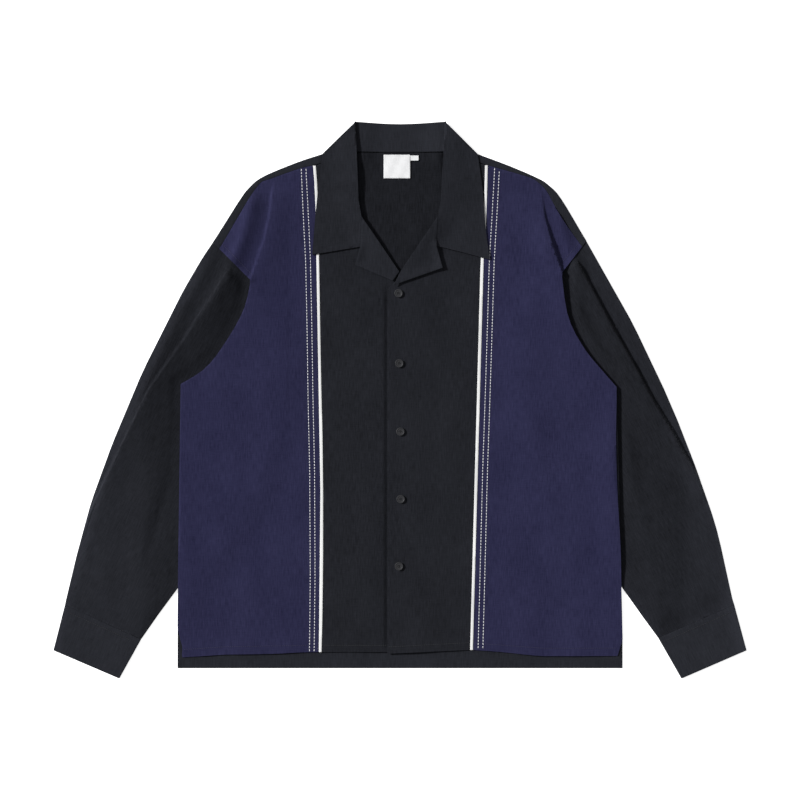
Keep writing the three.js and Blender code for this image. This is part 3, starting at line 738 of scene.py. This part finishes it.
def left_folds(x, y, z, up):
    at = np.column_stack([x, y])
    clear, crest_clear, filled = puffed(at, LEFT_EDGE, LEFT_OUTER, LEFT_INNER, -1)
    rise = 1.0 + 1.4 * filled
    shoulder_side = [(-228, 178), (-240, 160), (-254, 138), (-272, 112), (-300, 70)]
    rise += fold(shoulder_side, at, 3.4, 24, 10, 0.1, 0.6)
    rolled = [(-262, 206), (-286, 164), (-314, 110), (-343, 54), (-374, -22), (-398, -80)]
    rise += fold(rolled, at, 2.2, 19, 5, 0.12, 0.3)
    beside_body = [(-322, 6), (-333, -55), (-341, -112), (-356, -180), (-364, -240)]
    beside_body += [(-369, -292)]
    rise += fold(beside_body, at, 2.8, 17, 34, 0.25, 0.4)
    trough = [(-313, -80), (-320, -119), (-331, -157), (-340, -188), (-348, -215)]
    trough += [(-355, -259)]
    rise += fold(trough, at, -1.0, 4, 4, 0.2, 0.3)
    forearm = [(-376, -110), (-394, -170), (-406, -236), (-412, -290)]
    rise += fold(forearm, at, 1.2, 16, 16, 0.3, 0.3)
    rise += fold([(-352, -70), (-384, -128), (-396, -176)], at, -0.8, 10, 10, 0.3, 0.3)
    crest = fold(LEFT_RIDGE, at, 4.0, 30, 1.8, 0.03, 0.03)
    below_seam = ramp(0, 22, from_line(ARMHOLES[0][:2], at)[0])
    rise = np.maximum(rise * below_seam + 0.6 * shoulder_folds(at), 0) * clear
    return sleeve_shift(ARMHOLES[0], at, z, up, rise + crest * below_seam * crest_clear)


def right_folds(x, y, z, up):
    at = np.column_stack([x, y])
    clear, crest_clear, filled = puffed(at, RIGHT_EDGE, RIGHT_OUTER, RIGHT_INNER, 1)
    rise = 1.0 + 1.4 * filled
    groove = [(px + 4, py + 2) for px, py in RIGHT_RIDGE]
    rise += fold(groove, at, -1.8, 6, 2.4, 0.1, 0.25)
    rise += fold([(235, 150), (246, 110), (266, 72), (292, 42)], at, 3.4, 12, 9, 0.25, 0.3)
    rise += fold([(247, 152), (264, 110), (288, 68), (318, 26)], at, -1.9, 9, 9, 0.2, 0.3)
    rise += fold([(298, 108), (340, 34), (378, -26)], at, 1.0, 12, 8, 0.3, 0.4)
    rise += fold([(313, 8), (340, -26), (373, -55)], at, -1.0, 8, 10, 0.3, 0.3)
    beside_body = [(304, -10), (312, -62), (322, -112), (333, -164), (346, -217), (354, -259)]
    rise += fold(beside_body, at, 1.8, 9, 16, 0.2, 0.3)
    rise += fold([(352, -60), (364, -120), (380, -190), (394, -260)], at, 1.5, 26, 22, 0.3, 0.3)
    rise += fold([(412, -160), (424, -210), (434, -270)], at, 0.9, 14, 12, 0.3, 0.3)
    crest = fold(RIGHT_RIDGE, at, 4.6, 1.7, 24, 0.02, 0.07)
    from_seam = from_line(ARMHOLES[1][:2], at)[0]
    rise = np.maximum(rise * ramp(0, 22, from_seam) + shoulder_folds(at), 0) * clear
    rise = rise + crest * ramp(2, 10, from_seam) * crest_clear
    return sleeve_shift(ARMHOLES[1], at, z, up, rise)


def painted_edge_highlight(x, y):
    """A painted highlight: paler along the sleeves' outer edges."""
    at = np.column_stack([x, y])
    left, right = (from_line(outer, at)[0] for outer in (LEFT_OUTER, RIGHT_OUTER))
    return 0.9 * (1 - ramp(0, 16, left)) + 1.4 * (1 - ramp(0, 26, right))


def sleeve_tone_and_painted_light(x, y):
    """Painted light: paler towards the cuff as well. Painted shade: less pale in the hollow that
    runs down to it.
    """
    left = 0.35 + 0.5 * ramp(-330, -360, x)
    right = 0.1 + 0.8 * ramp(382, 405, x) + 0.5 * ramp(364, 345, x) * ramp(-200, -260, y)
    return 0.1 + painted_edge_highlight(x, y) + ramp(20, -160, y) * np.where(x < 0, left, right)


# The cloth in each sleeve in square metres, its folds, the way its weave is turned, its ridge.
sleeve_kinds = {
    "left": (0.163, left_folds, -25, LEFT_RIDGE),
    "right": (0.161, right_folds, 25, RIGHT_RIDGE),
}
for side, (area, shape, swung, ridge) in sleeve_kinds.items():
    node = "sleeve_" + side
    sleeve = cloth_skin(
        node + "_tube",
        node,
        shape,
        grid=4,
        grain=radians(swung),
        smooth=14,
        tone_and_painted_light=sleeve_tone_and_painted_light,
        sharp=[ridge],
    )
    finish_cloth(
        sleeve, node, black_twill, (0.40, 0.562)
    )

# ------------------------------------------------------------------ cuffs
# A flat band of two layers closes each sleeve's end, stiffer and smoother than the sleeve. One
# fine row of stitches runs along its seam.
def cuff_folds(x, y, z, up):
    at = np.column_stack([x, y])
    rise = np.zeros(len(at))
    for outer, inner in ((LEFT_OUTER, LEFT_INNER), (RIGHT_OUTER, RIGHT_INNER)):
        edges = ramp(0, 10, from_line(outer, at)[0]) * ramp(0, 10, from_line(inner, at)[0])
        rise = np.maximum(rise, edges)
    return 0 * x, 0 * y, np.where(z > UPPER_LAYER, 0.7 * rise, 0)


def cuff_tone_and_painted_light(x, y):
    # the cuffs' own paler tone, with the painted highlight along their outer edges
    return 0.8 + painted_edge_highlight(x, y)


# The way each cuff's weave is turned, and where its row of stitches starts and ends.
cuff_kinds = {
    "left": (-22, [(-461, -291), (-362, -335)]),
    "right": (22, [(460, -291), (361, -334)]),
}
cuff_stitch = (2.1, 0.7, 0.5)
for side, (swung, row) in cuff_kinds.items():
    node = "cuff_" + side
    cuff = cloth_skin(
        node + "_band", node, cuff_folds, grid=4, grain=radians(swung), tone_and_painted_light=cuff_tone_and_painted_light
    )
    finish_cloth(
        cuff, node, black_twill, (0.212, 0.066)
    )
    sew(
        node + "_stitching", [row], seam_spacing, cuff_stitch, [cuff],
        black_thread,
    )

# ------------------------------------------------------------------ collar
# A wide camp collar in one piece: its fall lies behind the back, it stands inside the neck,
# rolls over at the sides and spreads two long leaves on the fronts.
def collar_tone_and_painted_light(x, y):
    """The stand is paler than the leaves, partly its weave running another way and partly
    painted light where it lies in less shade. The right leaf is a little paler than the left.
    """
    stand = ramp(325, 345, y) * (1 - ramp(50, 62, np.abs(x)))
    return 0.28 + 0.45 * stand + 0.16 * np.sign(x) * (1 - stand)


def collar_folds(x, y, z, up):
    at = np.column_stack([x, y])
    leaves = (np.abs(x) > 50) & (z > 4.5) & (y < 330)
    rise = body_rise(x, y)
    for sign in (-1, 1):
        along_leaf = [(sign * 84, 318), (sign * 88, 262), (sign * 96, 222)]
        rise += leaves * fold(along_leaf, at, 0.9, 16, 16)
        lower_edge = [(sign * 122, 198), (sign * 90, 205), (sign * 60, 211)]
        rise += leaves * 0.6 * (1 - ramp(0, 12, from_line(lower_edge, at)[0]))
    # the right leaf's point is a little longer
    point, reach = (121, 195), 24
    longer = leaves * np.exp(-((x - point[0]) ** 2 + (y - point[1]) ** 2) / reach**2)
    return 2.8 * longer, -1.8 * longer, np.where(z > UPPER_LAYER, rise, 0)


collar = cloth_skin("camp_collar", "collar", collar_folds, grid=4, smooth=5, tone_and_painted_light=collar_tone_and_painted_light)
finish_cloth(
    collar, "collar", black_twill, (0.46, 0.11),
)

# ------------------------------------------------------------------ lapels
# The fronts' own upper corners, faced and turned out below the collar, with a notch between.
# Their free edges spring up a little from the fronts.
def lapel_shape(x, y, z, up):
    at = np.column_stack([x, y])
    rise = body_rise(x, y)
    for edge, springs in (
        ([(-56, 210), (-63, 186), (-12, 164)], 2.6),
        ([(52, 211), (60, 182), (-8, 158)], 1.5),
    ):
        rise += springs * (1 - ramp(0, 13, from_line(edge, at)[0]))
    rise += fold([(50, 220), (56, 202), (61, 178)], at, 1.8, 9, 9, 0.2, 0)
    return 0 * x, 0 * y, rise


lapel_sizes = {"left": (0.0606, 0.0884), "right": (0.0675, 0.0943)}
for side, flat in lapel_sizes.items():
    node = "lapel_" + side
    lapel = cloth_skin(node + "_facing", node, lapel_shape, grid=3.6, smooth=5, tone_and_painted_light=0.4)
    finish_cloth(
        lapel, node, black_twill, flat
    )

# ------------------------------------------------------------------ neck label
# A bare white woven tape with its ends folded under, sewn below the collar seam, and a small
# size tab beside it.
woven_tape = cloth(
    "woven_tape",
    dark=(0.63, 0.64, 0.65),
    light=(0.88, 0.88, 0.89),
    streaks=0.5,
    pale_and_painted_light_gain=0.1,
)
label_drop = 1.6  # mm, how far the tapes hang below the place of their solids


def puckered(x, y, z, up):
    swell = 0.25 + 0.25 * np.sin(x * 0.35 + y * 0.12) * np.sin(y * 0.28)
    return 0 * x, 0 * y - label_drop, swell


for node, flat, area in (
    ("neck_label", (0.0365, 0.0325), None),
    ("size_tab", (0.011, 0.0102), 0.000077),
):
    tape = cloth_skin(node + "_tape", node, puckered, grid=2, rim=0.25)
    finish_cloth(tape, node, woven_tape, flat)
label_low, label_high = (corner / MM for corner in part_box("neck_label"))
label_low.y -= label_drop
label_high.y -= label_drop
from_side, from_end = 1.2, 1.4
label_spacing, label_stitch = 2.4, (1.7, 0.4, 0.3)
row_start, row_stop = label_low.x + from_side, label_high.x - from_side
sew(
    "label_stitching",
    [
        [(row_start, row_y), (row_stop, row_y)]
        for row_y in (label_high.y - from_end, label_low.y + from_end)
    ],
    label_spacing, label_stitch, [bpy.data.objects["neck_label_tape"]],
    white_thread,
)

# ------------------------------------------------------------------ buttons
# Five dark resin buttons down the front, each with a raised rim, a dished middle and four
# holes, sewn through with dark thread that crosses over them.
bpy.ops.object.select_all(action="DESELECT")
button_low, button_high = (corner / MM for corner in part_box("button_1"))
button_radius = (button_high.x - button_low.x) / 2
button_thick = button_high.z - button_low.z
bpy.ops.mesh.primitive_cylinder_add(
    vertices=40, radius=button_radius * MM, depth=button_thick * MM, end_fill_type="NGON"
)
button = bpy.context.object
bpy.ops.object.mode_set(mode="EDIT")
skin = bmesh.from_edit_mesh(button.data)
for face in skin.faces:
    face.select_set(face.normal.z > 0.9)
# the raised rim, the slope inside it and the dished middle: how wide and how much higher each is
for wide, higher in ((1.0, 0.15), (0.5, -0.55), (1.6, 0.05)):
    bpy.ops.mesh.inset(thickness=wide * MM, depth=higher * MM)
bpy.ops.object.mode_set(mode="OBJECT")
holes = []
hole_radius, hole_place, drill_length = 0.72 * MM, 1.35 * MM, 8 * MM
for i in range(4):
    turn = pi / 4 + i * pi / 2
    bpy.ops.mesh.primitive_cylinder_add(
        vertices=14,
        radius=hole_radius,
        depth=drill_length,
        location=(hole_place * cos(turn), hole_place * sin(turn), 0),
    )
    holes.append(bpy.context.object)
for hole in holes:
    drill = button.modifiers.new("hole", "BOOLEAN")
    drill.operation = "DIFFERENCE"
    drill.object = hole
    bpy.context.view_layer.objects.active = button
    bpy.ops.object.modifier_apply(modifier=drill.name)
for hole in holes:
    bpy.data.objects.remove(hole)
soften(button, 0.22, angle=35)

resin, link, resin_shader, add = new_material("smoked_resin")
where = add("ShaderNodeTexCoord")
cloud = add("ShaderNodeTexNoise")
cloud.inputs["Scale"].default_value = 260
cloud.inputs["Detail"].default_value = 3
cloud.inputs["Distortion"].default_value = 1.5
link(where.outputs["Object"], cloud.inputs["Vector"])
tint = add("ShaderNodeMix", data_type="RGBA")
tint.inputs["A"].default_value = (0.014, 0.0145, 0.017, 1)
tint.inputs["B"].default_value = (0.038, 0.038, 0.042, 1)
link(cloud.outputs["Fac"], tint.inputs["Factor"])
link(tint.outputs["Result"], resin_shader.inputs["Base Color"])
resin_shader.inputs["Roughness"].default_value = 0.5
resin_shader.inputs["Specular IOR Level"].default_value = 0.25
button.data.materials.append(resin)

cross = grain_of_thread(3.4 * MM, 0.55 * MM, 0.5 * MM)
cross_sinks = 0.25 * MM
turned_by = 17  # degrees from each button to the next, as none is sewn on quite like another
for i in range(1, 6):
    node = f"button_{i}"
    low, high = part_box(node)
    middle = (low + high) / 2
    lift = float(body_rise(np.array([middle.x / MM]), np.array([middle.y / MM]))[0]) * MM
    turned = Matrix.Rotation(radians(turned_by * i), 4, "Z")
    place = Matrix.Translation(middle + Vector((0, 0, lift))) @ turned
    one = button.copy()
    one.data = button.data.copy()
    one.name = node + "_resin"
    bpy.context.scene.collection.objects.link(one)
    one.data.transform(place)
    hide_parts(node)
    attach(one, "root")
    bars = []
    for angle in (45, 135):
        bar = cross.copy()
        bar.data = cross.data.copy()
        bpy.context.scene.collection.objects.link(bar)
        high_up = Matrix.Translation((0, 0, button_thick / 2 * MM - cross_sinks))
        bar.data.transform(place @ high_up @ Matrix.Rotation(radians(angle), 4, "Z"))
        bars.append(bar)
    bpy.ops.object.select_all(action="DESELECT")
    for bar in bars:
        bar.select_set(True)
    bpy.context.view_layer.objects.active = bars[0]
    bpy.ops.object.join()
    bars[0].name = node + "_thread"
    bars[0].data.materials.append(black_thread)
    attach(bars[0], "root")
for spare in (button, cross):
    bpy.data.objects.remove(spare)
